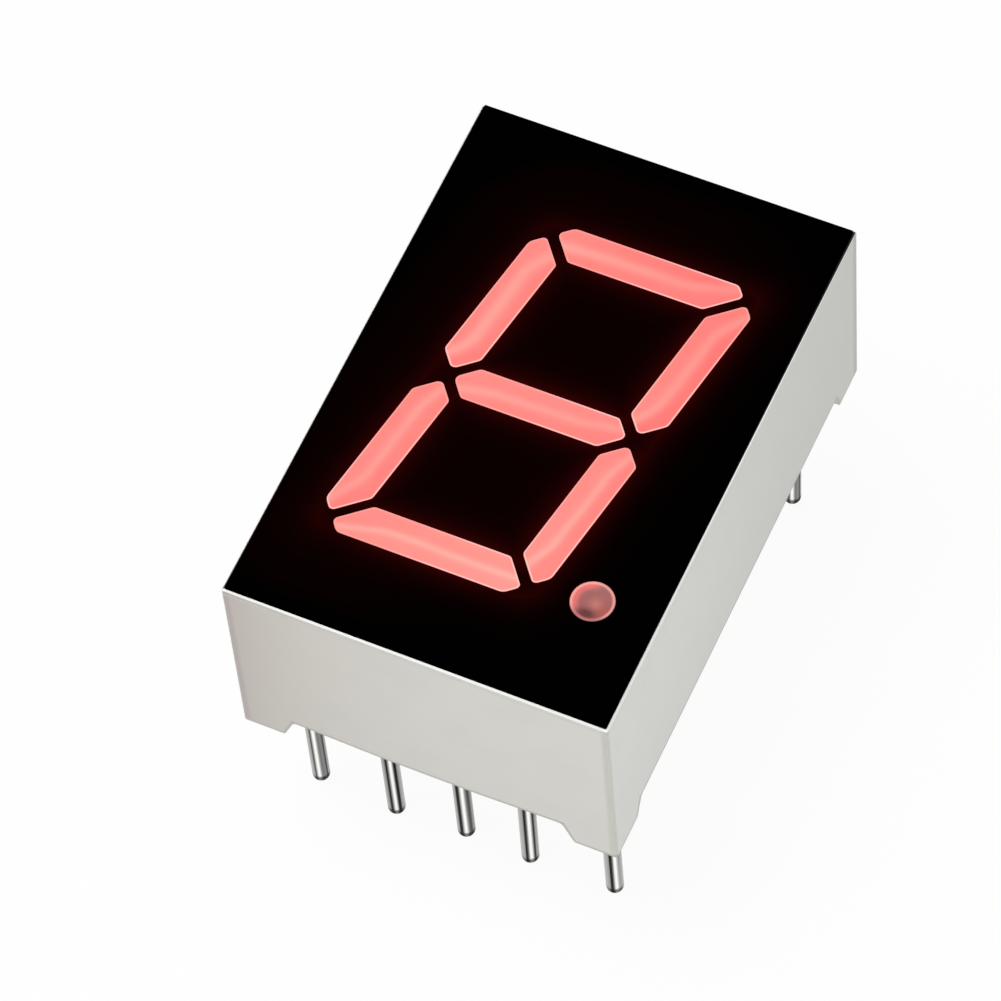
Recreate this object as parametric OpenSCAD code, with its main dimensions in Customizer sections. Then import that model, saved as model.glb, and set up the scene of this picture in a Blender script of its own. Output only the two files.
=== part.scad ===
// Single-digit seven segment display.
// A white moulded reflector stands over a small circuit board. Its tapered light
// wells are cast full of epoxy, a black film masks the face around them, and ten
// round wire pins leave the back in two rows.
// The origin is on the seating plane under the corner feet, midway between the
// pins. +X is the reader's right, +Y the digit's top, +Z points out of the face.

/* [Body] */
// Width of the body, across the digit
body_w = 12.6; // [12.4:0.1:18]
// Length of the body, along the digit
body_l = 19.0; // [18.6:0.1:28]
// Height of the face above the seating plane
body_h = 8.0; // [7:0.1:12]
// Radius of the four upright edges
corner_r = 0.15; // [0.13:0.01:0.5]
// Radius of the edge round the face
edge_r = 0.1; // [0.05:0.01:0.12]
// Thickness of the two side walls behind the reflector
side_wall = 0.6; // [0.4:0.05:0.6]
// Thickness of the two end walls behind the reflector
end_wall = 1.0; // [0.6:0.05:1.1]
// Height of the corner feet
foot_h = 0.87; // [0.6:0.01:0.95]
// Extra height of the end walls' lower edge beside the feet
arch_h = 0.13; // [0.05:0.01:0.15]
// Flat of a foot, across the body
foot_w = 1.4; // [1:0.05:2.5]
// Flat of a foot, along the body
foot_l = 1.5; // [1:0.05:3]
// Run of the slope from a foot up to the wall's lower edge
foot_run = 0.4; // [0.1:0.05:0.6]
// Radius where that slope meets the wall's lower edge
foot_r = 0.2; // [0.05:0.05:0.3]
// Radius where that slope meets the foot's flat
foot_toe_r = 0.3; // [0.05:0.05:0.4]
// Thickness of the black film on the face
film_t = 0.08; // [0.05:0.01:0.15]

/* [Digit] */
// Height of the digit over its outer edges
digit_h = 12.62; // [9:0.01:13]
// Width of the digit over its outer edges, before it is slanted
digit_w = 7.4; // [6:0.05:7.6]
// Breadth of a segment
stroke = 1.23; // [0.9:0.01:1.6]
// Clear width between two segments, square to the mitre
segment_gap = 0.32; // [0.25:0.01:0.5]
// Lean of the digit, in degrees
slant = 10; // [0:1:12]
// Cut across each corner of the digit, along its edge
corner_cut = 0.97; // [0.9:0.01:1.1]
// Radius where that cut meets a mitre
tip_r = 0.16; // [0.05:0.01:0.2]
// Radius where that cut meets the digit's outer edge
shoulder_r = 0.3; // [0.1:0.05:0.35]
// Radius of a segment's other corners
blunt_r = 0.2; // [0.05:0.05:0.2]
// Loss of breadth along the top of the middle bar
middle_trim = 0.05; // [0:0.01:0.1]
// Place of the digit's centre, across the body
digit_x = -0.09; // [-0.3:0.01:0.2]
// Place of the digit's centre, along the body
digit_y = -0.06; // [-0.2:0.01:0.2]
// Diameter of the decimal point
point_d = 1.38; // [1.25:0.01:1.7]
// Place of the decimal point, across the body
point_x = 4.11; // [4.1:0.01:4.4]
// Place of the decimal point, along the body
point_y = -5.63; // [-5.9:0.01:-5]

/* [Light wells] */
// Length of a well's floor, along its segment
well_l = 2.3; // [2.1:0.1:3]
// Width of a well's floor
well_w = 1; // [0.8:0.05:1.1]
// Diameter of the decimal point's well at its floor
point_floor_d = 1.3; // [1.2:0.05:1.5]
// Depth of the straight land behind each window
land_h = 0.5; // [0.2:0.05:1]
// Breadth of the two cored pockets inside the digit's loops
core_w = 2.2; // [1:0.1:2.6]
// Thickness left between a cored pocket and the face
core_skin = 1; // [0.8:0.1:2]

/* [Pins] */
// Diameter of the tinned wire
pin_d = 0.57; // [0.4:0.01:0.66]
// Reach of the pins below the seating plane
pin_drop = 6.1; // [3:0.1:12]
// Distance from pin to pin in a row
pin_pitch = 2.54; // [2:0.01:2.54]
// Distance between the two rows
row_gap = 15.24; // [14.8:0.01:15.5]
// Loss of diameter from the seating plane to the pin's inner end
pin_taper = 0.08; // [0.04:0.01:0.1]

/* [Board] */
// Thickness of the circuit board
board_t = 1; // [0.8:0.1:1.6]
// Height of the board's underside above the seating plane
board_z = 2; // [1.9:0.05:2.4]
// Thickness of the copper
copper_t = 0.035; // [0.018:0.001:0.04]
// Width of a copper track
track_w = 0.3; // [0.2:0.05:0.4]
// Diameter of the holes for the pins
hole_d = 0.8; // [0.78:0.01:0.85]
// Diameter of the copper ring round each hole
ring_d = 1.1; // [1.02:0.01:1.12]
// Depth of the seal that is cast over the board's back
seal_t = 0.65; // [0.5:0.05:0.85]
// Reach of the collar that the seal draws down each pin
collar = 0.2; // [0.05:0.05:0.3]

/* [Chips and wires] */
// Side of a light emitting chip
chip_w = 0.3; // [0.2:0.02:0.4]
// Height of a chip
chip_h = 0.2; // [0.1:0.02:0.3]
// Diameter of a bond wire
wire_d = 0.04; // [0.025:0.005:0.05]
// Reach of a bond wire from its chip to its pad
wire_reach = 0.8; // [0.7:0.05:0.85]
// Reach of the bond wire in the decimal point's well
point_reach = 0.5; // [0.45:0.01:0.5]

/* [Clearances] */
// Shrinkage round each epoxy casting
cast_gap = 0.01; // [0.005:0.005:0.03]
// Clearance round the board, and over and under its copper
board_gap = 0.05; // [0.045:0.005:0.08]
// Clearance between solder and what it wets
solder_gap = 0.01; // [0.005:0.005:0.02]

/* [Hidden] */
$fn = 48;
eps = 0.01;
pins_per_row = 5;
pin_r = pin_d / 2;
film_z = body_h - film_t;
board_top = board_z + board_t;
wetting = ring_d / 2 - pin_r;
pin_top = board_top + copper_t + 1.5 * wetting;
well_z = board_top + board_gap;
core_h = film_z - core_skin - well_z;
column = (digit_w - stroke) / 2;
row = (digit_h - stroke) / 2;
seal_z = board_z - board_gap - seal_t;
ball_r = 1.6 * wire_d;
ball_h = 0.8 * wire_d;
pad_w = 0.6;
bond_w = 0.36;
point_turn = -60;

SEGMENTS = ["a", "b", "c", "d", "e", "f", "g"];

// ---- outlines ----

function unit(v) = v / norm(v);

// Points of the arc of radius r that rounds corner p between its neighbours
function arc(before, p, after, r) =
    let (
        u = unit(before - p),
        v = unit(after - p),
        half = acos(u * v) / 2,
        centre = p + unit(u + v) * r / sin(half),
        first = p + u * r / tan(half) - centre,
        last = p + v * r / tan(half) - centre,
        sweep = 180 - 2 * half,
        steps = ceil(sweep / 15)
    )
    [for (i = [0:steps])
        centre + (first * sin(sweep - i * sweep / steps) + last * sin(i * sweep / steps)) / sin(sweep)];

function rounded(points, radii) =
    let (n = len(points))
    [for (i = [0:n - 1])
        each arc(points[(i + n - 1) % n], points[i], points[(i + 1) % n], radii[i])];

// From the upright digit to its place on the face
function leaned(p) = [p[0] + p[1] * tan(slant) + digit_x, p[1] + digit_y];

// The cut across a corner of the digit, on an outline drawn in by the inset
function cut_leg(inset) = corner_cut - (2 - sqrt(2)) * inset;

// An end bar: long edge outwards, both ends mitred at 45 degrees and cut at the corner
function end_bar(inset) =
    let (
        half = stroke / 2 - inset,
        back = (segment_gap / 2 + inset) * sqrt(2),
        reach = column - back,
        cut = cut_leg(inset),
        tip = [column + half - (cut + back) / 2, row + half - (cut - back) / 2],
        shoulder = [column + half - cut, row + half],
        sharp = tip_r - inset,
        soft = shoulder_r - inset,
        blunt = blunt_r - inset
    )
    rounded(
        [[-tip[0], tip[1]], [-shoulder[0], shoulder[1]], shoulder, tip,
            [reach - half, row - half], [half - reach, row - half]],
        [sharp, soft, soft, sharp, blunt, blunt]);

// The middle bar: both ends come to a blunt point
function middle_bar(inset) =
    let (
        half = stroke / 2 - inset,
        top = half - middle_trim,
        reach = column - (segment_gap / 2 + inset) * sqrt(2),
        blunt = blunt_r - inset
    )
    rounded(
        [[-reach, 0], [top - reach, top], [reach - top, top], [reach, 0],
            [reach - half, -half], [half - reach, -half]],
        [for (i = [1:6]) blunt]);

// An upright bar of the upper right: mitred and cut at the top, pointed at the middle
function upright_bar(inset) =
    let (
        half = stroke / 2 - inset,
        back = (segment_gap / 2 + inset) * sqrt(2),
        cut = cut_leg(inset),
        tip = [column + half - (cut - back) / 2, row + half - (cut + back) / 2],
        shoulder = [column + half, row + half - cut],
        sharp = tip_r - inset,
        soft = shoulder_r - inset,
        blunt = blunt_r - inset
    )
    rounded(
        [[column, back], [column - half, half + back], [column - half, row - half - back],
            tip, shoulder, [column + half, half + back]],
        [blunt, blunt, blunt, sharp, soft, blunt]);

function turned(points, sx, sy) = [for (p = points) leaned([sx * p[0], sy * p[1]])];

function segment_outline(name, inset = 0) =
    name == "a" ? turned(end_bar(inset), 1, 1) :
    name == "b" ? turned(upright_bar(inset), 1, 1) :
    name == "c" ? turned(upright_bar(inset), 1, -1) :
    name == "d" ? turned(end_bar(inset), 1, -1) :
    name == "e" ? turned(upright_bar(inset), -1, -1) :
    name == "f" ? turned(upright_bar(inset), -1, 1) :
    turned(middle_bar(inset), 1, 1);

// ---- places ----

function chip_at(name) =
    name == "a" ? leaned([0, row]) :
    name == "b" ? leaned([column, row / 2]) :
    name == "c" ? leaned([column, -row / 2]) :
    name == "d" ? leaned([0, -row]) :
    name == "e" ? leaned([-column, -row / 2]) :
    name == "f" ? leaned([-column, row / 2]) :
    name == "g" ? leaned([0, 0]) :
    [point_x, point_y] - heading(point_turn) * point_reach / 2;

// Direction from each chip to its bond pad, in degrees
function bond_turn(name) =
    name == "a" ? 0 :
    name == "d" || name == "g" ? 180 :
    name == "b" || name == "f" ? 90 - slant :
    name == "c" || name == "e" ? 270 - slant :
    point_turn;

function heading(turn) = [cos(turn), sin(turn)];
function bond_reach(name) = name == "point" ? point_reach : wire_reach;
function bond_at(name) = chip_at(name) + heading(bond_turn(name)) * bond_reach(name);

// Pins 1 to 5 run left to right below the digit, 6 to 10 right to left above it
function pin_at(n) =
    let (step = (pins_per_row - 1) / 2)
    n <= pins_per_row ?
        [(n - 1 - step) * pin_pitch, -row_gap / 2] :
        [(step - (n - 1 - pins_per_row)) * pin_pitch, row_gap / 2];

// ---- shared forms ----

// A rectangle about the origin with true round corners
module rounded_box(w, l, r) {
    square([w - 2 * r, l], center = true);
    square([w, l - 2 * r], center = true);
    for (x = [-1, 1])
        for (y = [-1, 1])
            translate([x * (w / 2 - r), y * (l / 2 - r)])
                circle(r);
}

// Upright section of the body over a span: round top edges and a foot at each end,
// with the lower edge raised beside the feet if the wall is arched
module body_section(span, foot, arch = 0) {
    step = span / 2 - foot;
    heel = [step - foot_run, foot_h + arch];
    crown = arch > 0 ? [[-span / 8, foot_h], [span / 8, foot_h]] : [];
    difference() {
        translate([0, film_z / 2])
            rounded_box(span, film_z, edge_r);
        polygon(rounded(
            [[-span, -1], [-span, -eps / 5], [-step, -eps / 5], [-heel[0], heel[1]],
                each crown,
                heel, [step, -eps / 5], [span, -eps / 5], [span, -1]],
            [eps, eps, foot_toe_r, foot_r,
                each [for (p = crown) span],
                foot_r, foot_toe_r, eps, eps]));
    }
}

// The light space of a segment: its window and a straight land, then a taper to the
// well's floor on the board
module light_space(name, inset) {
    middle = chip_at(name) + heading(bond_turn(name)) * wire_reach / 4;
    hull() {
        translate([middle[0], middle[1], well_z])
            rotate(bond_turn(name))
                linear_extrude(eps)
                    rounded_box(well_l - 2 * inset, well_w - 2 * inset, well_w / 4, $fn = 24);
        translate([0, 0, film_z - land_h])
            linear_extrude(land_h + film_t)
                polygon(segment_outline(name, inset));
    }
}

module point_space(inset) {
    r = point_d / 2 - inset;
    translate([point_x, point_y, well_z])
        cylinder(h = film_z - land_h - well_z, r1 = point_floor_d / 2 - inset, r2 = r);
    translate([point_x, point_y, film_z - land_h])
        cylinder(h = land_h + film_t, r = r);
}

// A pin from its round tip up, with its inner stretch slightly tapered
module pin_form(n, grow = 0) {
    translate([pin_at(n)[0], pin_at(n)[1], 0]) {
        translate([0, 0, pin_r - pin_drop])
            sphere(pin_r + grow);
        translate([0, 0, pin_r - pin_drop])
            cylinder(h = pin_drop - pin_r, r = pin_r + grow);
        cylinder(h = pin_top, r1 = pin_r + grow, r2 = pin_r - pin_taper / 2 + grow);
    }
}

// Concave fillet ring: wide at z = 0, drawn up a shaft of radius r
module wetted_ring(r, reach) {
    rotate_extrude()
        difference() {
            square([r + reach, reach]);
            translate([r + reach, reach])
                circle(reach);
        }
}

module chip_form(name, grow = 0) {
    translate([chip_at(name)[0], chip_at(name)[1], board_top + copper_t])
        rotate(bond_turn(name)) {
            translate([0, 0, chip_h * 3 / 8])
                cube([chip_w + 2 * grow, chip_w + 2 * grow, chip_h * 3 / 4], center = true);
            translate([0, 0, chip_h / 2 + grow])
                cube([chip_w * 0.8 + 2 * grow, chip_w * 0.8 + 2 * grow, chip_h], center = true);
        }
}

// A wire from a ball on the chip, over in an arc, to a stitch on its pad
module wire_form(name, grow = 0) {
    reach = bond_reach(name);
    rise = chip_h + ball_h / 2;
    drop = rise - ball_h / 2;
    lean = atan(drop / reach);
    chord = sqrt(reach * reach + drop * drop);
    half_sweep = 70;
    arc_r = chord / 2 / sin(half_sweep);
    translate([chip_at(name)[0], chip_at(name)[1], board_top + copper_t])
        rotate(bond_turn(name)) {
            translate([0, 0, chip_h])
                cylinder(h = ball_h + grow, r = ball_r + grow);
            translate([reach, 0, 0])
                cylinder(h = ball_h + grow, r = ball_r + grow);
            rotate([90, 0, 0])
                translate([reach / 2, rise - drop / 2, 0])
                    rotate(-lean)
                        translate([0, -arc_r * cos(half_sweep), 0])
                            rotate(90 - half_sweep)
                                rotate_extrude(angle = 2 * half_sweep)
                                    translate([arc_r, 0])
                                        circle(wire_d / 2 + grow, $fn = 24);
        }
}

// A straight run of copper with round ends
module track(from, to) {
    run = to - from;
    translate(from)
        rotate(atan2(run[1], run[0])) {
            translate([0, -track_w / 2])
                square([norm(run), track_w]);
            circle(track_w / 2);
            translate([norm(run), 0])
                circle(track_w / 2);
        }
}

module tracks(points) {
    for (i = [1:len(points) - 1])
        track(points[i - 1], points[i]);
}

// ---- the pieces ----

module housing() {
    pocket_w = body_w - 2 * side_wall;
    pocket_l = body_l - 2 * end_wall;
    color([0.82, 0.81, 0.77])
        difference() {
            intersection() {
                linear_extrude(film_z)
                    rounded_box(body_w, body_l, corner_r);
                rotate([90, 0, 0])
                    linear_extrude(body_l, center = true)
                        body_section(body_w, foot_w, arch_h);
                rotate([90, 0, 90])
                    linear_extrude(body_w, center = true)
                        body_section(body_l, foot_l);
            }
            // room for the board and the seal
            translate([0, 0, -eps])
                linear_extrude(well_z + eps)
                    rounded_box(pocket_w, pocket_l, corner_r);
            // room for the pins' inner ends
            for (side = [-1, 1])
                translate([0, side * row_gap / 2, well_z - eps])
                    linear_extrude(pin_top + board_gap * 2 - well_z + eps)
                        square([pocket_w, ring_d + 4 * board_gap], center = true);
            // cored pockets inside the two loops, so that the walls mould evenly
            for (side = [-1, 1])
                translate([0, 0, well_z - eps])
                    linear_extrude(core_h + eps)
                        polygon(turned(rounded(
                            [[-core_w / 2, row / 2 - core_w / 2], [core_w / 2, row / 2 - core_w / 2],
                                [core_w / 2, row / 2 + core_w / 2], [-core_w / 2, row / 2 + core_w / 2]],
                            [corner_r, corner_r, corner_r, corner_r]), 1, side));
            for (name = SEGMENTS)
                light_space(name, 0);
            point_space(0);
        }
}

module face_mask() {
    color([0.02, 0.02, 0.02])
        translate([0, 0, film_z])
            linear_extrude(film_t)
                difference() {
                    rounded_box(body_w - 2 * edge_r, body_l - 2 * edge_r, corner_r - edge_r);
                    for (name = SEGMENTS)
                        polygon(segment_outline(name));
                    translate([point_x, point_y])
                        circle(point_d / 2);
                }
}

module segment(name) {
    color([0.98, 0.57, 0.54])
        difference() {
            light_space(name, cast_gap);
            chip_form(name, cast_gap);
            wire_form(name, cast_gap);
        }
}

module decimal_point() {
    color([0.72, 0.46, 0.44])
        difference() {
            point_space(cast_gap);
            chip_form("point", cast_gap);
            wire_form("point", cast_gap);
        }
}

module circuit_board() {
    color([0.75, 0.72, 0.52])
        translate([0, 0, board_z])
            linear_extrude(board_t)
                difference() {
                    rounded_box(
                        body_w - 2 * side_wall - 2 * board_gap,
                        body_l - 2 * end_wall - 2 * board_gap,
                        corner_r);
                    for (n = [1:2 * pins_per_row])
                        translate(pin_at(n))
                            circle(hole_d / 2);
                }
}

module copper_tracks() {
    edge_x = pin_at(1)[0];
    trunk = [chip_at("a"), chip_at("g"), chip_at("d"), pin_at(3)];
    color([0.8, 0.5, 0.3]) {
        translate([0, 0, board_top])
            linear_extrude(copper_t)
                difference() {
                    union() {
                        // the common net
                        track(pin_at(8), chip_at("a"));
                        tracks(trunk);
                        track(chip_at("f"), chip_at("b"));
                        track(chip_at("e"), chip_at("c"));
                        tracks([chip_at("c"), [chip_at("point")[0], chip_at("d")[1] / 2 + chip_at("c")[1] / 2],
                            chip_at("point")]);
                        // one run to each segment's own pin
                        track(bond_at("a"), pin_at(7));
                        track(bond_at("b"), pin_at(6));
                        track(bond_at("c"), pin_at(4));
                        track(bond_at("d"), pin_at(2));
                        track(bond_at("e"), pin_at(1));
                        track(bond_at("f"), pin_at(9));
                        tracks([bond_at("g"), [edge_x + 1, bond_at("g")[1]], [edge_x, bond_at("g")[1] + 1],
                            pin_at(10)]);
                        track(bond_at("point"), pin_at(5));
                        for (name = SEGMENTS) {
                            translate(chip_at(name))
                                rotate(bond_turn(name))
                                    square(pad_w, center = true);
                            translate(bond_at(name))
                                rotate(bond_turn(name))
                                    square(bond_w, center = true);
                        }
                        for (n = [1:2 * pins_per_row])
                            translate(pin_at(n))
                                circle(ring_d / 2);
                    }
                    for (n = [1:2 * pins_per_row])
                        translate(pin_at(n))
                            circle(hole_d / 2);
                }
        translate([0, 0, board_z - copper_t])
            linear_extrude(copper_t)
                for (n = [1:2 * pins_per_row])
                    translate(pin_at(n))
                        difference() {
                            circle(ring_d / 2);
                            circle(hole_d / 2);
                        }
    }
}

module led_chip(name) {
    color([0.75, 0.2, 0.15])
        chip_form(name);
}

module bond_wire(name) {
    color([0.9, 0.7, 0.2])
        wire_form(name);
}

module pin(n) {
    color([0.72, 0.72, 0.72])
        pin_form(n);
}

// Solder through a hole and up the pin on both sides of the board
module solder_form(n, grow = 0) {
    barrel_r = hole_d / 2 - solder_gap;
    translate([pin_at(n)[0], pin_at(n)[1], 0]) {
        translate([0, 0, board_top + copper_t])
            wetted_ring(pin_r, wetting);
        translate([0, 0, board_z - copper_t])
            mirror([0, 0, 1])
                wetted_ring(pin_r + grow, wetting);
        translate([0, 0, board_z - copper_t])
            cylinder(h = board_t + 2 * copper_t, r1 = barrel_r, r2 = barrel_r - solder_gap);
    }
}

module solder(n) {
    color([0.6, 0.6, 0.6])
        difference() {
            solder_form(n);
            pin_form(n, solder_gap);
        }
}

// Epoxy cast over the board's back, drawn a little way up the walls and down the pins
module back_seal() {
    color([0.85, 0.8, 0.7])
        difference() {
            union() {
                translate([0, 0, seal_z])
                    linear_extrude(seal_t)
                        rounded_box(
                            body_w - 2 * side_wall - 2 * cast_gap,
                            body_l - 2 * end_wall - 2 * cast_gap,
                            corner_r);
                for (n = [1:2 * pins_per_row])
                    translate([pin_at(n)[0], pin_at(n)[1], seal_z])
                        mirror([0, 0, 1])
                            wetted_ring(pin_r, collar);
            }
            for (n = [1:2 * pins_per_row]) {
                pin_form(n, cast_gap);
                solder_form(n, cast_gap);
            }
        }
}

housing();
face_mask();
segment("a");  // segment_a
segment("b");  // segment_b
segment("c");  // segment_c
segment("d");  // segment_d
segment("e");  // segment_e
segment("f");  // segment_f
segment("g");  // segment_g
decimal_point();
circuit_board();
copper_tracks();
led_chip("a");  // led_chip_a
led_chip("b");  // led_chip_b
led_chip("c");  // led_chip_c
led_chip("d");  // led_chip_d
led_chip("e");  // led_chip_e
led_chip("f");  // led_chip_f
led_chip("g");  // led_chip_g
led_chip("point");  // led_chip_point
bond_wire("a");  // bond_wire_a
bond_wire("b");  // bond_wire_b
bond_wire("c");  // bond_wire_c
bond_wire("d");  // bond_wire_d
bond_wire("e");  // bond_wire_e
bond_wire("f");  // bond_wire_f
bond_wire("g");  // bond_wire_g
bond_wire("point");  // bond_wire_point
pin(1);  // pin_1
pin(2);  // pin_2
pin(3);  // pin_3
pin(4);  // pin_4
pin(5);  // pin_5
pin(6);  // pin_6
pin(7);  // pin_7
pin(8);  // pin_8
pin(9);  // pin_9
pin(10);  // pin_10
solder(1);  // solder_1
solder(2);  // solder_2
solder(3);  // solder_3
solder(4);  // solder_4
solder(5);  // solder_5
solder(6);  // solder_6
solder(7);  // solder_7
solder(8);  // solder_8
solder(9);  // solder_9
solder(10);  // solder_10
back_seal();
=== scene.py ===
# Seven segment display: its finishes, castings, tinned pins, light and camera.
import math

import bmesh
import bpy
from mathutils import Matrix, Vector


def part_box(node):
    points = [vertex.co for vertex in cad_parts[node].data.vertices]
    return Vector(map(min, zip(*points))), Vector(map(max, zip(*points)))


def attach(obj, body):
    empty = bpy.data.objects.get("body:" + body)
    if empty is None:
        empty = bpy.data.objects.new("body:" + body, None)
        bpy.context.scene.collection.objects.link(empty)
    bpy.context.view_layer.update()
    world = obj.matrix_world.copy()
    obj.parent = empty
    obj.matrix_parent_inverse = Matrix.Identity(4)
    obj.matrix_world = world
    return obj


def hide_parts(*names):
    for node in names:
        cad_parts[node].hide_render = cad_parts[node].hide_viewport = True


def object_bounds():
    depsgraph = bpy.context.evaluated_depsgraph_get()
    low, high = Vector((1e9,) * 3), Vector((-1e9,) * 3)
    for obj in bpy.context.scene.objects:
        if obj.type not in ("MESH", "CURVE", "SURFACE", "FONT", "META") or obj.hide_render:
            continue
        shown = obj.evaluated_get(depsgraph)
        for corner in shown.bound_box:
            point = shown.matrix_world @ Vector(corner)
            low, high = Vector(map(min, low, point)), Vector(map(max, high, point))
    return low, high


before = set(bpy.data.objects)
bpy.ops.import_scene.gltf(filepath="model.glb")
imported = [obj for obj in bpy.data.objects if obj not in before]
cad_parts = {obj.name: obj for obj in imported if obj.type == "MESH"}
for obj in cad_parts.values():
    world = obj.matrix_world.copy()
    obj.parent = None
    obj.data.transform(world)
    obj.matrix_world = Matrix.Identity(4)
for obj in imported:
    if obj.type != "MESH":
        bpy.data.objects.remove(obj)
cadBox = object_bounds()
mm = 0.001
letters = "abcdefg"
blackInk = (0.0002, 0.0002, 0.0002, 1)  # the face and what ran from it on to the rim
print("frame loaded with", len(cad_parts), "nodes")


# shader maths

def colour(code):
    # a colour as the picker's hex field shows it, made linear
    parts = [int(code[i:i + 2], 16) / 255 for i in (0, 2, 4)]
    return [p / 12.92 if p <= 0.04045 else ((p + 0.055) / 1.055) ** 2.4 for p in parts] + [1]


class Strand:
    # one output of a node; sums and products of strands add Math nodes
    def __init__(self, finish, socket):
        self.finish = finish
        self.socket = socket

    def maths(self, operation, *others):
        return self.finish.maths(operation, self, *others)

    def __add__(self, other):
        return self.maths("ADD", other)

    def __sub__(self, other):
        return self.maths("SUBTRACT", other)

    def __rsub__(self, other):
        return self.finish.maths("SUBTRACT", other, self)

    def __mul__(self, other):
        return self.maths("MULTIPLY", other)

    def __truediv__(self, other):
        return self.maths("DIVIDE", other)

    def __neg__(self):
        return self * -1

    def __abs__(self):
        return self.maths("ABSOLUTE")

    __radd__ = __add__
    __rmul__ = __mul__

    def most(self, other):
        return self.maths("MAXIMUM", other)

    def least(self, other):
        return self.maths("MINIMUM", other)

    def exp(self):
        return self.maths("EXPONENT")

    def also(self, name):
        # another output of the same node
        return Strand(self.finish, self.socket.node.outputs[name])


class Finish:
    # one material, reckoned in millimetres on the piece's own coordinates
    def __init__(self, name, fixed):
        self.material = bpy.data.materials.new(name)
        self.material.use_nodes = True
        self.tree = self.material.node_tree
        self.shader = self.tree.nodes["Principled BSDF"]
        metres = self.node("ShaderNodeTexCoord", out="Object")
        self.place = self.node("ShaderNodeMapping", {}, {"Vector": metres, "Scale": (1000, 1000, 1000)})
        self.x = self.node("ShaderNodeSeparateXYZ", {}, {0: self.place})
        self.y = self.x.also("Y")
        self.z = self.x.also("Z")
        self.feed(fixed)

    def node(self, kind, settings={}, sockets={}, out=0):
        made = self.tree.nodes.new(kind)
        for key, value in settings.items():
            setattr(made, key, value)
        for key, value in sockets.items():
            self.join(value, made.inputs[key])
        return Strand(self, made.outputs[out])

    def join(self, value, socket):
        if isinstance(value, Strand):
            self.tree.links.new(value.socket, socket)
        else:
            socket.default_value = value

    def feed(self, sockets):
        for key, value in sockets.items():
            self.join(value, self.shader.inputs[key])

    def maths(self, operation, *values):
        return self.node("ShaderNodeMath", {"operation": operation}, dict(enumerate(values)))

    def blend(self, factor, first, second, how="MIX"):
        return self.node("ShaderNodeMix", {"data_type": "RGBA", "blend_type": how},
                         {0: factor, 6: first, 7: second}, out=2)

    def noise(self, waves, detail=2, stretch=(1, 1, 1)):
        # from 0 to 1, about 0.5; waves to the millimetre
        place = self.place
        if stretch != (1, 1, 1):
            place = self.node("ShaderNodeMapping", {}, {"Vector": place, "Scale": stretch})
        return self.node("ShaderNodeTexNoise", {}, {"Vector": place, "Scale": waves, "Detail": detail})

    def between(self, value, low, high, start=0, end=1):
        # start below low, end above high, and a soft step from one to the other
        return self.node("ShaderNodeMapRange", {"interpolation_type": "SMOOTHSTEP"},
                         {0: value, 1: low, 2: high, 3: start, 4: end})

    def past(self, value, mark):
        # how far past the mark, with a soft start
        return self.maths("SMOOTH_MAX", value - mark, 0, 0.5)

    def hump(self, value, middle, width):
        # 1 at the middle, fading out about two widths away
        away = (value - middle) / width
        return (away * away * -1).exp()

    def length(self, across, along):
        return (across * across + along * along).maths("SQRT")

    def bumps(self, *layers):
        # each layer is a height from 0 to 1 and its depth in millimetres
        normal = None
        for height, depth in layers:
            sockets = {"Height": height, "Distance": depth * mm, "Strength": 1}
            if normal:
                sockets["Normal"] = normal
            normal = self.node("ShaderNodeBump", {}, sockets)
        self.feed({"Normal": normal})


# modelling helpers

def deselect():
    if bpy.context.mode != "OBJECT":
        bpy.ops.object.mode_set(mode="OBJECT")
    bpy.ops.object.select_all(action="DESELECT")


def work(piece):
    # edit mode on this piece alone, with nothing selected in it
    deselect()
    piece.select_set(True)
    bpy.context.view_layer.objects.active = piece
    bpy.ops.object.mode_set(mode="EDIT")
    bpy.ops.mesh.select_all(action="DESELECT")


def pick(piece, kind, test):
    # selects the faces, edges or vertices that pass the test, and says how many
    bpy.ops.mesh.select_mode(type={"faces": "FACE", "edges": "EDGE", "verts": "VERT"}[kind])
    bpy.ops.mesh.select_all(action="DESELECT")
    shape = bmesh.from_edit_mesh(piece.data)
    shape.normal_update()
    found = [part for part in getattr(shape, kind) if test(part)]
    for part in found:
        part.select_set(True)
    shape.select_flush_mode()
    bmesh.update_edit_mesh(piece.data)
    return len(found)


def mergedCopy(node, name):
    # a CAD node's shape as one connected mesh with whole faces
    piece = bpy.data.objects.new(name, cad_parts[node].data.copy())
    bpy.context.scene.collection.objects.link(piece)
    piece.data.materials.clear()
    work(piece)
    bpy.ops.mesh.select_all(action="SELECT")
    bpy.ops.mesh.remove_doubles(threshold=0.0002 * mm)
    bpy.ops.mesh.dissolve_limited(angle_limit=math.radians(0.4))
    return piece


def done(piece, slot, *nodes, smooth=30):
    # soft shading, then the piece takes its place on the body
    deselect()
    piece.select_set(True)
    bpy.context.view_layer.objects.active = piece
    bpy.ops.object.shade_smooth_by_angle(angle=math.radians(smooth))
    deselect()
    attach(piece, "root")
    if nodes:
        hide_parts(*nodes)


def dress(finish, *nodes):
    for node in nodes:
        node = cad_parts[node]
        node.data.materials.clear()
        node.data.materials.append(finish.material)


# camera, floor and light
view = {"place": (45.884, -84.983, 162.716), "turn": (30.9954, 3.0128, 24.2994),
        "lens": 217.557, "sensor": 36, "clip": (0.01, 10)}


def addCamera():
    lens = bpy.data.cameras.new("camera")
    lens.lens = view["lens"]
    lens.sensor_width = view["sensor"]
    lens.clip_start, lens.clip_end = view["clip"]
    camera = bpy.data.objects.new("camera", lens)
    bpy.context.scene.collection.objects.link(camera)
    camera.location = Vector(view["place"]) * mm
    camera.rotation_euler = [math.radians(angle) for angle in view["turn"]]
    bpy.context.scene.camera = camera


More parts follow.
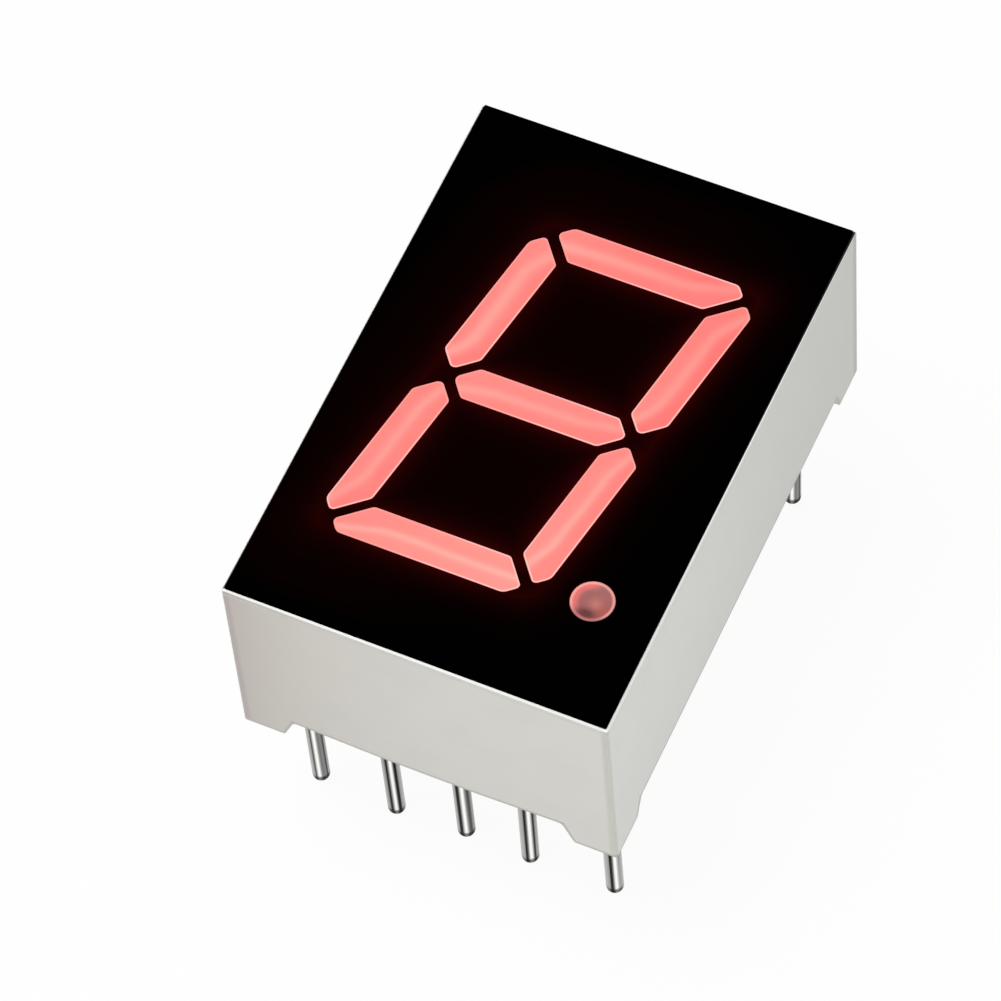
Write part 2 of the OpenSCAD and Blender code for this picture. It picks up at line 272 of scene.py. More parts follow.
studio = {
    "floorSize": 2.0,
    "floor": "F6F6F5",
    "floorGlow": 0.94,  # share of plain white that the camera sees in the floor
    "sky": 0.42,
    "lamps": {
        "overhead": {"place": (-80, -40, 300), "aim": (0, 0, 4), "size": 180, "level": 0.6},
        "right": {"place": (260, -60, 120), "aim": (0, 0, 0), "size": 160, "level": 0.12},
    },
}


def addFloor():
    deselect()
    bpy.ops.mesh.primitive_plane_add(size=studio["floorSize"], location=(0, 0, cadBox[0].z))
    floor = bpy.context.active_object
    floor.name = "floor"
    bpy.ops.object.transform_apply(location=True)
    finish = Finish("floorPaper", {"Base Color": colour(studio["floor"]), "Roughness": 0.9})
    finish.feed({"Specular IOR Level": 0.1})
    tree, nodes = finish.tree, finish.tree.nodes
    seen = finish.node("ShaderNodeLightPath", out="Is Camera Ray")
    seen = seen + seen.also("Is Glossy Ray") + seen.also("Is Transmission Ray")
    white = finish.node("ShaderNodeEmission", {}, {"Color": (1, 1, 1, 1), "Strength": 1})
    lit = Strand(finish, finish.shader.outputs[0])
    paper = finish.node("ShaderNodeMixShader", {}, {0: seen * studio["floorGlow"], 1: lit, 2: white})
    clear = finish.node("ShaderNodeBsdfTransparent")
    under = finish.node("ShaderNodeNewGeometry", out="Backfacing")
    both = finish.node("ShaderNodeMixShader", {}, {0: under, 1: paper, 2: clear})
    tree.links.new(both.socket, nodes["Material Output"].inputs["Surface"])
    floor.data.materials.append(finish.material)


def addLight():
    world = bpy.data.worlds.new("studio")
    bpy.context.scene.world = world
    world.use_nodes = True
    tree = world.node_tree
    back = tree.nodes["Background"]
    path = tree.nodes.new("ShaderNodeLightPath")
    seen = tree.nodes.new("ShaderNodeMath")
    seen.operation = "ADD"
    mirrored = tree.nodes.new("ShaderNodeMath")
    mirrored.operation = "ADD"
    level = tree.nodes.new("ShaderNodeMapRange")
    level.inputs["To Min"].default_value = studio["sky"]
    level.inputs["To Max"].default_value = 1
    tree.links.new(path.outputs["Is Camera Ray"], seen.inputs[0])
    tree.links.new(path.outputs["Is Glossy Ray"], seen.inputs[1])
    tree.links.new(seen.outputs[0], mirrored.inputs[0])
    tree.links.new(path.outputs["Is Transmission Ray"], mirrored.inputs[1])
    tree.links.new(mirrored.outputs[0], level.inputs["Value"])
    tree.links.new(level.outputs[0], back.inputs["Strength"])
    back.inputs["Color"].default_value = (1, 1, 1, 1)
    for name, lamp in studio["lamps"].items():
        light = bpy.data.lights.new(name, "AREA")
        light.size = lamp["size"] * mm
        place, aim = Vector(lamp["place"]) * mm, Vector(lamp["aim"]) * mm
        light.energy = lamp["level"] * math.pi ** 2 * (place - aim).length_squared
        holder = bpy.data.objects.new(name, light)
        bpy.context.scene.collection.objects.link(holder)
        holder.location = place
        holder.rotation_euler = (aim - place).to_track_quat("-Z", "Y").to_euler()
    bpy.context.scene.view_settings.view_transform = "Standard"


addCamera()
addFloor()
addLight()
print("camera, floor and lamps set")


# the moulded housing
shell = {
    # the right wall's tone is a painted shade, a little darker than the white
    "white": "EFEDE6", "rightWallShade": "E8E9E3", "roughness": 0.42,
    # the front wall's finish starts this far from the front, and is warmer and shaded at its left end
    "front": (0.3, 0.1), "shaded": "CFC5BD", "shadedReach": 3,
    # painted shade: a duller tone grows towards the back and the foot; the same tone also lies in faint
    # clouds: from, to and strength
    "dull": "D0D1CC", "shadeTowardsBack": (-10, 13), "shadeTowardsFoot": (6, 1, 0, 0.18),
    "cloudWaves": 0.7, "clouds": (0.4, 0.75, 0, 0.1),
    # fine grain: waves to the millimetre, spread in roughness and depth; and long swells
    "grain": (14, 0.18, 0.0016), "swell": (2.2, 0.004),
    # pale rim, a painted highlight: its tone in front and elsewhere, its width and depth, and the painted
    # shade line under it, with that line's depth, width and strength
    "rim": "FFFFFC", "sideRimHighlight": "FFFFFA", "rimWidth": 0.1, "rimHighlightDepth": 0.035,
    "underRimShadeTone": "DCDCD4", "underRimShade": (0.15, 0.06, 0.5),
    # painted shade on the upright corners: sign of x and y, how far the dull tone reaches along each, and
    # the tone
    "corners": [(1, -1, 0.3, 0.15, "DCDCD4"), (-1, -1, 0.35, 0.3, "C4BAB5"),
                (1, 1, 0.3, 0.5, "BEBFBA"), (-1, 1, 0.3, 0.3, "D0D0CA")],
    # softened lower edges: width, the shortest that are softened, how close to the outside and how
    # low they lie; faces above this area, in square millimetres, stay flat
    "edge": 0.03, "shortest": 0.2, "outside": 0.12, "lowest": 1.5, "flatAbove": 10,
    # painted shade: the dull line along those edges, paler in front
    "lowerEdgeShade": "BEBEB6", "frontLowerEdgeShade": "C4C4BC",  # the dull line over that edge
    # height of the gap under each wall, its bow, and where its slopes to the feet start
    "gap": {"height": 0.87, "bow": 0.045, "bowFrom": 1.6, "front": 4.55, "side": 7.68,
            "slope": 0.38, "square": 0.93, "line": 0.14, "footEnd": 0.08, "endWall": (0.12, 0.06)},
    # ink that has run on to the rim: width on the left and right, growth away from there, soft edge
    "ink": {"left": 0.05, "right": 0.02, "growth": 0.0038, "soft": 0.01},
}


def gapEdgeShade(finish, high):
    # where the painted shade line lies: distance over the gap or beside it, whichever is more, or over a
    # foot's end
    gap = shell["gap"]
    across = finish.between(abs(finish.y), *(high.y - reach for reach in gap["endWall"]))
    along = abs(finish.x) * across + abs(finish.y) * (1 - across)
    start = gap["front"] * across + gap["side"] * (1 - across)
    over = finish.z - gap["height"] - (along - gap["bowFrom"]).most(0) * across * gap["bow"]
    beside = (along - start + (finish.z - gap["height"]) * gap["slope"]) * gap["square"]
    edge = over.most(beside).least(finish.z - gap["footEnd"])
    return finish.between(edge, gap["line"], gap["line"] / 2)


def rimInk(finish, low, high):
    # where the mask's ink has run on to the rim
    run, rim = shell["ink"], shell["rimWidth"]
    soft = run["soft"]
    right = finish.x - finish.y * run["growth"] - high.x + rim
    back = finish.y - finish.x * run["growth"] - high.y + rim
    inked = finish.between(right, run["right"] + soft, run["right"])
    inked = inked * finish.between(-finish.x - high.x + rim, run["left"] + soft, run["left"])
    inked = inked * finish.between(back, soft, 0)
    inked = inked * finish.between(finish.y, low.y + rim, low.y + rim + soft)
    return inked * finish.between(finish.z, high.z - rim, high.z - rim + soft)


def mouldedWhite():
    finish = Finish("mouldedWhite", {"Specular IOR Level": 0.4})
    low, high = (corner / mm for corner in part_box("housing"))
    near = finish.between(finish.y, *(low.y + reach for reach in shell["front"]))
    # painted shade: the right wall takes a darker tone
    tone = finish.blend(finish.between(finish.x, high.x - shell["rimWidth"], high.x),
                        colour(shell["white"]), colour(shell["rightWallShade"]))
    fade = ((low.x - finish.x) / shell["shadedReach"]).exp()
    tone = finish.blend(fade * near, tone, colour(shell["shaded"]))
    dull = colour(shell["dull"])
    # painted shade: darker towards the back and towards the foot
    tone = finish.blend(finish.between(finish.y, *shell["shadeTowardsBack"]), tone, dull)
    tone = finish.blend(finish.between(finish.z, *shell["shadeTowardsFoot"]), tone, dull)
    cloud = finish.between(finish.noise(shell["cloudWaves"], 2), *shell["clouds"])
    tone = finish.blend(cloud, tone, dull)
    # painted shade along the upright corners
    for side, end, reachX, reachY, code in shell["corners"]:
        alongX = finish.between(finish.x * side, high.x - reachX, high.x - reachX / 2)
        alongY = finish.between(finish.y * end, high.y - reachY, high.y - reachY / 2)
        tone = finish.blend(alongX * alongY, tone, colour(code))
    # painted shade: a dull line just under the rim
    depth, width, strength = shell["underRimShade"]
    under = finish.hump(finish.z, high.z - depth, width) * strength
    tone = finish.blend(under, tone, colour(shell["underRimShadeTone"]))
    # painted highlight: a pale band along the rim
    rim = finish.between(finish.z, high.z - shell["rimHighlightDepth"], high.z - shell["rimHighlightDepth"] / 2)
    rimHighlightTone = finish.blend(near, colour(shell["sideRimHighlight"]), colour(shell["rim"]))
    tone = finish.blend(rim, tone, rimHighlightTone)
    # painted shade: the dull line along the lower edges over the gaps
    lowerEdgeShade = finish.blend(near, colour(shell["lowerEdgeShade"]), colour(shell["frontLowerEdgeShade"]))
    tone = finish.blend(gapEdgeShade(finish, high), tone, lowerEdgeShade)
    tone = finish.blend(rimInk(finish, low, high), tone, blackInk)
    waves, spread, depth = shell["grain"]
    fine = finish.noise(waves, 3)
    finish.feed({"Base Color": tone, "Roughness": shell["roughness"] + (fine - 0.5) * spread})
    swells, swellDepth = shell["swell"]
    finish.bumps((fine, depth), (finish.noise(swells, 1), swellDepth))
    return finish


def softHousing(finish):
    piece = mergedCopy("housing", "mouldedHousing")
    piece.data.materials.append(finish.material)
    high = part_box("housing")[1]

    def lowerEdge(edge):
        # an edge between an upright outer face and one that looks down
        if len(edge.link_faces) != 2 or edge.calc_length() < shell["shortest"] * mm:
            return False
        middle = (edge.verts[0].co + edge.verts[1].co) / 2
        band = shell["outside"] * mm
        outer = abs(middle.x) > high.x - band or abs(middle.y) > high.y - band
        tips = sorted(face.normal.z for face in edge.link_faces)
        return outer and middle.z < shell["lowest"] * mm and tips[0] < -0.3 and abs(tips[1]) < 0.02

    found = pick(piece, "edges", lowerEdge)
    bpy.ops.mesh.bevel(offset=shell["edge"] * mm, segments=2, profile=0.5, affect="EDGES",
                       clamp_overlap=True)
    done(piece, "white_reflector", "housing", smooth=20)
    # the flat walls keep their own plain shading beside the rounded corners
    work(piece)
    flat = pick(piece, "faces", lambda face: face.calc_area() > shell["flatAbove"] * mm * mm)
    bpy.ops.mesh.faces_shade_flat()
    deselect()
    print("housing: lower edges softened:", found, "walls kept flat:", flat)


softHousing(mouldedWhite())


# the black face and the painted red glow that spreads in it
digit = {"centre": (-0.09, -0.06), "lean": 10, "column": 3.085, "row": 5.695, "half": 0.615}
ink = {
    "roughness": 0.5, "red": (1, 0.02, 0.025, 1),
    "grain": (18, 0.2, 0.0006),  # waves to the millimetre, spread in roughness and depth
    # strength and reach in mm of the light round the bars
    "near": (0.024, 0.22), "wide": (0.008, 0.55),
    # strength of the haze inside the digit's two loops, and how soft its border is
    "loops": 0.0026, "loopEdge": 0.3,
    # strength of the haze towards the upper left, and where it fades out, away from the bars
    "upperLeft": 0.0019, "hazeReach": (2.9, 1.9),
    # the left starts and ends at these places across, which move with the height by the lean
    "leftward": (3.5, -1), "leftLean": 0.3,
    "dimmer": 0.22,  # how much less light lies to the left
    "joints": (1.1, 0.75),  # reach of the dimmer places round the gaps, and how much less light is there
}


def upright(finish):
    # distances from the digit's centre, across and up, once its lean is taken out
    tall = finish.y - digit["centre"][1]
    wide = finish.x - digit["centre"][0] - tall * math.tan(math.radians(digit["lean"]))
    return abs(wide), abs(tall)


def bars(finish):
    # distance from the edge of the nearest bar, gaps between bars left out
    wide, tall = upright(finish)
    past, over = (wide - digit["column"]).most(0), (tall - digit["row"]).most(0)
    column = finish.length(wide - digit["column"], over)
    top = finish.length(past, tall - digit["row"])
    middle = finish.length(past, tall)
    return column.least(top).least(middle) - digit["half"]


def inkAndPaintedGlow():
    finish = Finish("inkAndPaintedGlow", {"Base Color": blackInk, "Specular IOR Level": 0,
                                  "Emission Strength": 1})
    away = bars(finish).most(-0.05)
    wide, tall = upright(finish)
    column, row, soft = digit["column"], digit["row"], ink["loopEdge"]
    # painted glow: haze in the loops and to the upper left, and red light round the bars
    loops = finish.between(wide, column, column - soft) * finish.between(tall, row, row - soft)
    left = finish.between(finish.x - finish.y * ink["leftLean"], *ink["leftward"])
    haze = left * finish.between(away, *ink["hazeReach"], 0, ink["upperLeft"])
    light = sum((away / -reach).exp() * strength for strength, reach in (ink["near"], ink["wide"]))
    joint = finish.length(wide - column, tall.least(abs(tall - row)))
    reach, less = ink["joints"]
    light = light * (1 - finish.hump(joint, 0, reach) * less)
    level = haze.most(loops * ink["loops"]) + light * (1 - left * ink["dimmer"])
    waves, spread, depth = ink["grain"]
    fine = finish.noise(waves, 2)
    finish.feed({"Emission Color": finish.blend(level, (0, 0, 0, 1), ink["red"]),
                 "Roughness": ink["roughness"] + (fine - 0.5) * spread})
    finish.bumps((fine, depth))
    return finish


dress(inkAndPaintedGlow(), "face_mask")
print("black face inked")


# the lit castings
castings = {
    "rim": 0.045, "slope": 0.05, "dish": 0.012,  # width of rim and slope, and how far the face sinks
    "resin": (0.05, 0.006, 0.006, 1), "rimResin": (0.06, 0.01, 0.01, 1),  # under the light
    "dim": "F87370", "bright": "FCB6A8",
    # the rims glow with the lit resin, with a painted highlight towards the lower right
    "rimDim": "F99C95", "rimBright": "FDC0BA", "rimHighlightTowards": (0.6, -0.45), "rimHighlightSpan": (-0.9, 0.9),
    "bandEdge": 0.2,  # half the width of the change from one side's level to the other's
    "endsFrom": 1.5,  # where the streak starts to turn off, from the middle
    "warp": 0.08, "cloud": 0.12,  # how far the streak wavers, and the levels with it
    # levels beside the streak (left and lower side, right and upper side), their drift along the bar,
    # the streak's strength and width, its line in the middle and how it turns off at each end
    "a": {"sides": (0.17, 0.13), "drift": (-0.015, -0.045), "streak": (0.33, -0.03), "wide": 0.2,
          "line": (0, 0.024), "ends": (-0.05, 0.3)},
    "b": {"sides": (0.06, 0.21), "drift": (-0.01, -0.035), "streak": (0.31, -0.01), "wide": 0.19,
          "line": (-0.034, 0), "ends": (0.49, -0.42)},
    "c": {"sides": (0.23, 0.35), "drift": (-0.03, -0.035), "streak": (0.36, -0.025), "wide": 0.15,
          "line": (-0.038, -0.02), "ends": (0.27, -0.19)},
    "d": {"sides": (0.43, 0.36), "drift": (0.025, 0.03), "streak": (0.39, 0.005), "wide": 0.13,
          "line": (-0.03, -0.004), "ends": (-0.27, 0.02)},
    "e": {"sides": (0.2, 0.26), "drift": (0.01, -0.02), "streak": (0.28, 0.01), "wide": 0.17,
          "line": (0.02, 0.01), "ends": (0.45, -0.25)},
    "f": {"sides": (0.18, 0.24), "drift": (0.012, 0.012), "streak": (0.37, -0.03), "wide": 0.24,
          "line": (0.047, 0.028), "ends": (0.6, -0.47)},
    "g": {"sides": (0.25, 0.27), "drift": (-0.02, -0.01), "streak": (0.28, -0.01), "wide": 0.17,
          "line": (-0.05, 0.02), "ends": (-0.2, 0.2)},
}


def placeOf(name):
    # the middle of a bar on the face, and the direction of its length
    lean = math.radians(digit["lean"])
    up = {"a": 1, "b": 0.5, "c": -0.5, "d": -1, "e": -0.5, "f": 0.5, "g": 0}[name] * digit["row"]
    side = {"b": 1, "c": 1, "e": -1, "f": -1}.get(name, 0) * digit["column"]
    middle = (side + up * math.tan(lean) + digit["centre"][0], up + digit["centre"][1])
    return middle, (math.pi / 2 - lean if side else 0)


def litResin(name):
    look = castings[name]
    finish = Finish("litResin" + name.upper(), {"Base Color": castings["resin"], "Roughness": 0.3,
                                                "Specular IOR Level": 0.12, "Emission Strength": 1})
    middle, turn = placeOf(name)
    right, ahead = finish.x - middle[0], finish.y - middle[1]
    along = right * math.cos(turn) + ahead * math.sin(turn)
    across = ahead * math.cos(turn) - right * math.sin(turn)
    before = finish.past(along * -1, castings["endsFrom"])
    after = finish.past(along, castings["endsFrom"])
    line = along * look["line"][1] + before * look["ends"][0] + after * look["ends"][1] + look["line"][0]
    warp = (finish.noise(0.9, 1) - 0.5) * castings["warp"]
    off = across - line + warp
    lower, upper = (along * drift + side for side, drift in zip(look["sides"], look["drift"]))
    level = lower + (upper - lower) * finish.between(off, -castings["bandEdge"], castings["bandEdge"])
    streak = along * look["streak"][1] + look["streak"][0]
    level = level + streak * finish.hump(off, 0, look["wide"])
    level = level + (finish.noise(1.6, 2) - 0.5) * castings["cloud"]
    tone = finish.blend(level, colour(castings["dim"]), colour(castings["bright"]))
    finish.feed({"Emission Color": tone})
    finish.bumps((finish.noise(3, 1), 0.002))
    return finish


def rimResin(name):
    # painted highlight: brighter towards the lower right of the face
    finish = Finish("rimResin" + name.upper(), {"Base Color": castings["rimResin"], "Roughness": 0.3,
                                                "Specular IOR Level": 0.2, "Emission Strength": 1})
    middle = placeOf(name)[0]
    rightward, upward = castings["rimHighlightTowards"]
    toward = (finish.x - middle[0]) * rightward + (finish.y - middle[1]) * upward
    share = finish.between(toward, *castings["rimHighlightSpan"])
    tone = finish.blend(share, colour(castings["rimDim"]), colour(castings["rimBright"]))
    finish.feed({"Emission Color": tone})
    return finish


def flatTop(high):
    return lambda face: face.normal.z > 0.99 and face.calc_center_median().z > high.z - 0.001 * mm


def cast(node, name, slot, body, rim):
    # the window's face gets a narrow bright rim and sinks a little inside it
    piece = mergedCopy(node, name)
    piece.data.materials.append(body.material)
    piece.data.materials.append(rim.material)
    top = flatTop(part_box(node)[1])
    pick(piece, "faces", top)
    bpy.ops.mesh.inset(thickness=castings["rim"] * mm, depth=0)
    shape = bmesh.from_edit_mesh(piece.data)
    for face in shape.faces:
        if top(face) and not face.select:
            face.material_index = 1
    bmesh.update_edit_mesh(piece.data)
    bpy.ops.mesh.inset(thickness=castings["slope"] * mm, depth=-castings["dish"] * mm)
    done(piece, slot, node, smooth=10)
    return piece


for letter in letters:
    cast("segment_" + letter, "casting_" + letter, "lit_epoxy", litResin(letter), rimResin(letter))
print("seven lit castings in place")


# the unlit decimal point, with a painted glow and a painted highlight
pointLook = {
    "tones": {"mauve": "A56462", "mauveDark": "A05E5C", "warm": "C1766C", "ruddy": "AC5751",
              "dark": "6A3535", "crescent": "E47470", "ring": "E89D99", "ringHighlight": "FFA29B",
              "ringDull": "BC7372", "edge": "9A4A48"},
    # soft spots, the warm one a painted glow: tone, place from the middle, reach
    "spots": [("ruddy", (0.38, -0.2), 0.24), ("warm", (0.13, -0.05), 0.2)],
    # dark patch: place, how far it is stretched sideways, reach and strength
    "patch": {"place": (-0.02, -0.45), "squash": 0.55, "reach": 0.17, "strength": 1.2},
    # where the left part starts and ends, and its direction
    "leftSide": (0.05, 0.4), "leftTowards": (0.94, 0.34),
    # distances from the middle at which the crescent, the ring and the dark edge come in
    "crescentAt": (0.32, 0.54), "ringAt": (0.56, 0.63), "edgeAt": (0.65, 0.7),
    "lowRing": (-0.25, -0.6),  # heights between which the ring grows dull
}


def pointResin():
    finish = Finish("pointResin", {"Roughness": 0.3, "Specular IOR Level": 0.2, "Emission Strength": 1})
    tones = {name: colour(code) for name, code in pointLook["tones"].items()}
    low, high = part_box("decimal_point")
    middle = (low + high) / 2 / mm
    right, ahead = finish.x - middle.x, finish.y - middle.y
    out = finish.length(right, ahead)
    tone = finish.blend(finish.noise(2.5, 2), tones["mauve"], tones["mauveDark"])
    # soft spots; the warm one is a painted glow
    for name, (across, up), reach in pointLook["spots"]:
        spot = finish.hump(finish.length(right - across, ahead - up), 0, reach)
        tone = finish.blend(spot, tone, tones[name])
    patch = pointLook["patch"]
    away = finish.length((right - patch["place"][0]) * patch["squash"], ahead - patch["place"][1])
    share = (finish.hump(away, 0, patch["reach"]) * patch["strength"]).least(1)
    tone = finish.blend(share, tone, tones["dark"])
    leftward, upward = pointLook["leftTowards"]
    left = finish.between(ahead * upward - right * leftward, *pointLook["leftSide"])
    # painted glow: a red crescent on the left, from the lit bars beside it
    tone = finish.blend(finish.between(out, *pointLook["crescentAt"]) * left, tone, tones["crescent"])
    # painted highlight: the ring is brighter on the left
    ring = finish.blend(left, tones["ring"], tones["ringHighlight"])
    ring = finish.blend(finish.between(ahead, *pointLook["lowRing"]), ring, tones["ringDull"])
    tone = finish.blend(finish.between(out, *pointLook["ringAt"]), tone, ring)
    tone = finish.blend(finish.between(out, *pointLook["edgeAt"]), tone, tones["edge"])
    # painted glow: the unlit point emits half of its tone
    half = finish.blend(1, tone, (0.5, 0.5, 0.5, 1), "MULTIPLY")  # half lit from within, half by the room
    finish.feed({"Base Color": half, "Emission Color": half})
    return finish


pointBody = pointResin()
cast("decimal_point", "casting_point", "unlit_epoxy", pointBody, pointBody)
print("decimal point in place")


# the pins
wire = {
    "sides": 48, "tipRound": 0.22, "tipSteps": 6,
    "neck": 0.85,  # the inner end's width, as a share of the pin's
    # how far each bent pin's tip leans across and up, and the heights between which it bends
    "sway": {1: (0.01, 0.08), 2: (0.19, -0.08), 3: (0.03, 0.03), 4: (-0.27, -0.03), 5: (0.07, 0.02),
             6: (-0.32, -0.01)},
    "swayFrom": (1.1, 0.75, 0.4, 0.05, -0.3),
    "front": (0.51, -0.86),  # the side towards the camera, from which the painted reflections are set out
    # painted shade near the cut tip, in mm from the end: its upper and lower border, and its strength
    # all round and in front
    "tipBand": (0.34, 0.48), "tipEnd": (0.02, 0.1), "tipShade": (0.2, 0.67),
    # painted reflection: the far side is brighter and the flanks are darker: angle, width and strength
    "farSide": (165, 30, 1.5), "flanks": (110, 14, 0.6),
    "dark": "0A0A08", "bright": "FDFDFA", "roughness": (0.18, 0.12),
    # long fine scratches: waves across and along, and how uneven they make the polish
    "scratches": (9, 0.04), "uneven": (0.72, 0.56), "scratchDepth": 0.0012,
    # half the width of the change from one side's painted level to the other's, and the painted highlight
    # streak's strength
    "sideChange": 6, "shine": 1.2, "frontWidth": 110,
    "lessMetalBelow": (0, 0.12, 0.25, 1),  # the darkest painted reflection lines are made less metallic, so they stay dark
    # for each pin, painted reflections: levels left and right of the bright streak, which is a painted
    # highlight, its angle and width, and dark painted reflection lines with their angle, depth and width
    "draws": [
        {"sides": (0.31, 0.2), "streak": (-10, 11), "lines": ((-32, 0.95, 9), (15, 0.3, 7), (46, 0.9, 10))},
        {"sides": (0.24, 0.28), "streak": (-2, 10), "lines": ((-29, 1.1, 12), (24, 1.8, 11))},
        {"sides": (0.26, 0.14), "streak": (-2, 12), "lines": ((-33, 1.8, 12), (34, 0.7, 15))},
        {"sides": (0.33, 0.22), "streak": (4, 12), "lines": ((-19.5, 2.4, 11.5), (30, 1.1, 11))},
        {"sides": (0.33, 0.3), "streak": (9, 12), "lines": ((-16.5, 2.6, 11.5), (38, 0.2, 8))},
    ],
}


def tinnedWire(number):
    look = wire["draws"][number % len(wire["draws"])]
    finish = Finish("tinnedWire_" + str(number + 1), {"Specular IOR Level": 0})
    around = finish.node("ShaderNodeAttribute", {"attribute_name": "around"}, out="Vector")
    around = finish.node("ShaderNodeSeparateXYZ", {}, {0: around})
    ahead, aside = wire["front"]
    front = around * ahead + around.also("Y") * aside
    side = around.also("Y") * ahead - around * aside
    angle = finish.maths("ARCTAN2", side, front) * math.degrees(1)
    waves, stretch = wire["scratches"]
    fine = finish.noise(waves, 2, (1, 1, stretch))
    # painted reflections: levels either side of the bright streak, dark lines, a brighter far side and
    # darker flanks
    middle, change = look["streak"][0], wire["sideChange"]
    level = finish.between(angle, middle - change, middle + change, *look["sides"])
    least, more = wire["uneven"]
    level = level * (least + fine * more)
    for at, depth, width in look["lines"]:
        level = level * (1 - (finish.hump(angle, at, width) * depth).least(1))
    at, width, gain = wire["farSide"]
    level = level * (1 + finish.hump(abs(angle), at, width) * gain)
    at, width, loss = wire["flanks"]
    level = level * (1 - finish.hump(abs(angle), at, width) * loss)
    # painted highlight: the bright streak
    shine = (finish.hump(angle, *look["streak"]) * wire["shine"]).least(1)
    level = level + (1 - level) * shine
    height = around.also("Z")
    # painted shade near the cut tip
    tip = finish.between(height, *wire["tipBand"], 1, 0) * finish.between(height, *wire["tipEnd"])
    allRound, inFront = wire["tipShade"]
    level = level * (1 - tip * (allRound + finish.hump(angle, 0, wire["frontWidth"]) * inFront))
    smoothest, rougher = wire["roughness"]
    finish.feed({"Base Color": finish.blend(level, colour(wire["dark"]), colour(wire["bright"])),
                 "Metallic": finish.between(level, *wire["lessMetalBelow"]),
                 "Roughness": smoothest + fine * rougher})
    finish.bumps((fine, wire["scratchDepth"]))
    return finish


def modelPin():
    low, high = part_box("pin_3")
    radius = (high.x - low.x) / 2
    length = high.z - low.z
    deselect()
    bpy.ops.mesh.primitive_cylinder_add(vertices=wire["sides"], radius=radius, depth=length,
                                        location=(0, 0, low.z + length / 2))
    piece = bpy.context.active_object
    bpy.ops.object.transform_apply(location=True)
    work(piece)
    for level in (0,) + wire["swayFrom"]:
        bpy.ops.mesh.select_all(action="SELECT")
        bpy.ops.mesh.bisect(plane_co=(0, 0, level * mm), plane_no=(0, 0, 1))
    pick(piece, "verts", lambda vert: vert.co.z > high.z - 0.01 * mm)
    bpy.ops.transform.resize(value=(wire["neck"], wire["neck"], 1), center_override=(0, 0, high.z))
    pick(piece, "edges", lambda edge: max(v.co.z for v in edge.verts) < low.z + 0.01 * mm)
    bpy.ops.mesh.bevel(offset=wire["tipRound"] * mm, segments=wire["tipSteps"], profile=0.5,
                       affect="EDGES")
    deselect()
    # where each point lies around the axis, and how far above the tip in millimetres
    around = piece.data.attributes.new("around", "FLOAT_VECTOR", "POINT")
    for vert, spot in zip(piece.data.vertices, around.data):
        spot.vector = (vert.co.x / radius, vert.co.y / radius, (vert.co.z - low.z) / mm)
    return piece


def addPins():
    first = modelPin()
    for n in range(1, 11):
        low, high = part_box("pin_" + str(n))
        place = (low + high) / 2
        piece = bpy.data.objects.new("tinnedPin_" + str(n), first.data.copy())
        bpy.context.scene.collection.objects.link(piece)
        piece.data.materials.append(tinnedWire(n - 1).material)
        if n in wire["sway"]:
            sway = Vector(wire["sway"][n] + (0,)) * mm / len(wire["swayFrom"])
            work(piece)
            for level in wire["swayFrom"]:
                pick(piece, "verts", lambda vert: vert.co.z < (level - 0.01) * mm)
                bpy.ops.transform.translate(value=sway)
            deselect()
        piece.data.transform(Matrix.Translation((place.x, place.y, 0)))
        done(piece, "tinned_wire", "pin_" + str(n), smooth=40)
    bpy.data.objects.remove(first)


addPins()
print("ten pins in place")


# the back seal and the solder
seal = {
    "milk": "DDD6C4", "honey": "CDBE9F", "speck": "F2EEE2", "roughness": 0.28,
    "cloudWaves": 0.6, "clouds": (0.35, 0.7), "specks": (0.04, 0.07, 0.4, 0),
    "swell": (0.45, 0.05), "grain": (5, 0.003),  # waves to the millimetre and depth
}
tin = {"dull": "A8A8A6", "bright": "DCDCDA", "roughness": (0.22, 0.3), "waves": 9, "depth": 0.004}


def sealResin():
    finish = Finish("sealResin", {"Specular IOR Level": 0.5})
    cloud = finish.noise(seal["cloudWaves"], 3)
    tone = finish.blend(finish.between(cloud, *seal["clouds"]), colour(seal["milk"]), colour(seal["honey"]))
    specks = finish.node("ShaderNodeTexVoronoi", {}, {"Vector": finish.place, "Scale": 1.3})
    tone = finish.blend(finish.between(specks, *seal["specks"]), tone, colour(seal["speck"]))
    finish.feed({"Base Color": tone, "Roughness": seal["roughness"] + (cloud - 0.5) * 0.2})
    (swells, swellDepth), (grains, grainDepth) = seal["swell"], seal["grain"]
    finish.bumps((finish.noise(swells, 1), swellDepth), (finish.noise(grains, 2), grainDepth))
    return finish


def solderTin():
    finish = Finish("solderTin", {"Metallic": 1})
    grain = finish.noise(tin["waves"], 3)
    smoothest, rougher = tin["roughness"]
    finish.feed({"Base Color": finish.blend(grain, colour(tin["dull"]), colour(tin["bright"])),
                 "Roughness": smoothest + grain * rougher})
    finish.bumps((grain, tin["depth"]))
    return finish


backSeal = mergedCopy("back_seal", "castSeal")
backSeal.data.materials.append(sealResin().material)
done(backSeal, "seal_epoxy", "back_seal", smooth=40)

solder = solderTin()
for n in range(1, 11):
    joint = mergedCopy("solder_" + str(n), "solderJoint_" + str(n))
    joint.data.materials.append(solder.material)
    done(joint, "solder", "solder_" + str(n), smooth=40)
print("seal and solder in place")


# the board, its copper, the chips and their wires
laminate = {"resin": "A8A06A", "thread": "C9C28C", "cloud": "BDB480", "roughness": (0.45, 0.15),
            "threads": 1.6, "cloudWaves": 1.2, "depth": 0.006}
copper = {"dark": "B5693F", "rubbed": "E8A57A", "roughness": (0.2, 0.25), "waves": 6, "depth": 0.002}
chip = {"body": "7A1A14", "gold": "D9B25A", "glow": (0.5, 0.02, 0.01, 1), "roughness": (0.25, 0.3),
        "goldFrom": (0.02, 0.005), "waves": 30, "depth": 0.001}  # gold on top, from this far below it
gold = {"dark": "D8A847", "bright": "F2CB72", "roughness": (0.15, 0.15), "waves": 40, "depth": 0.0005}


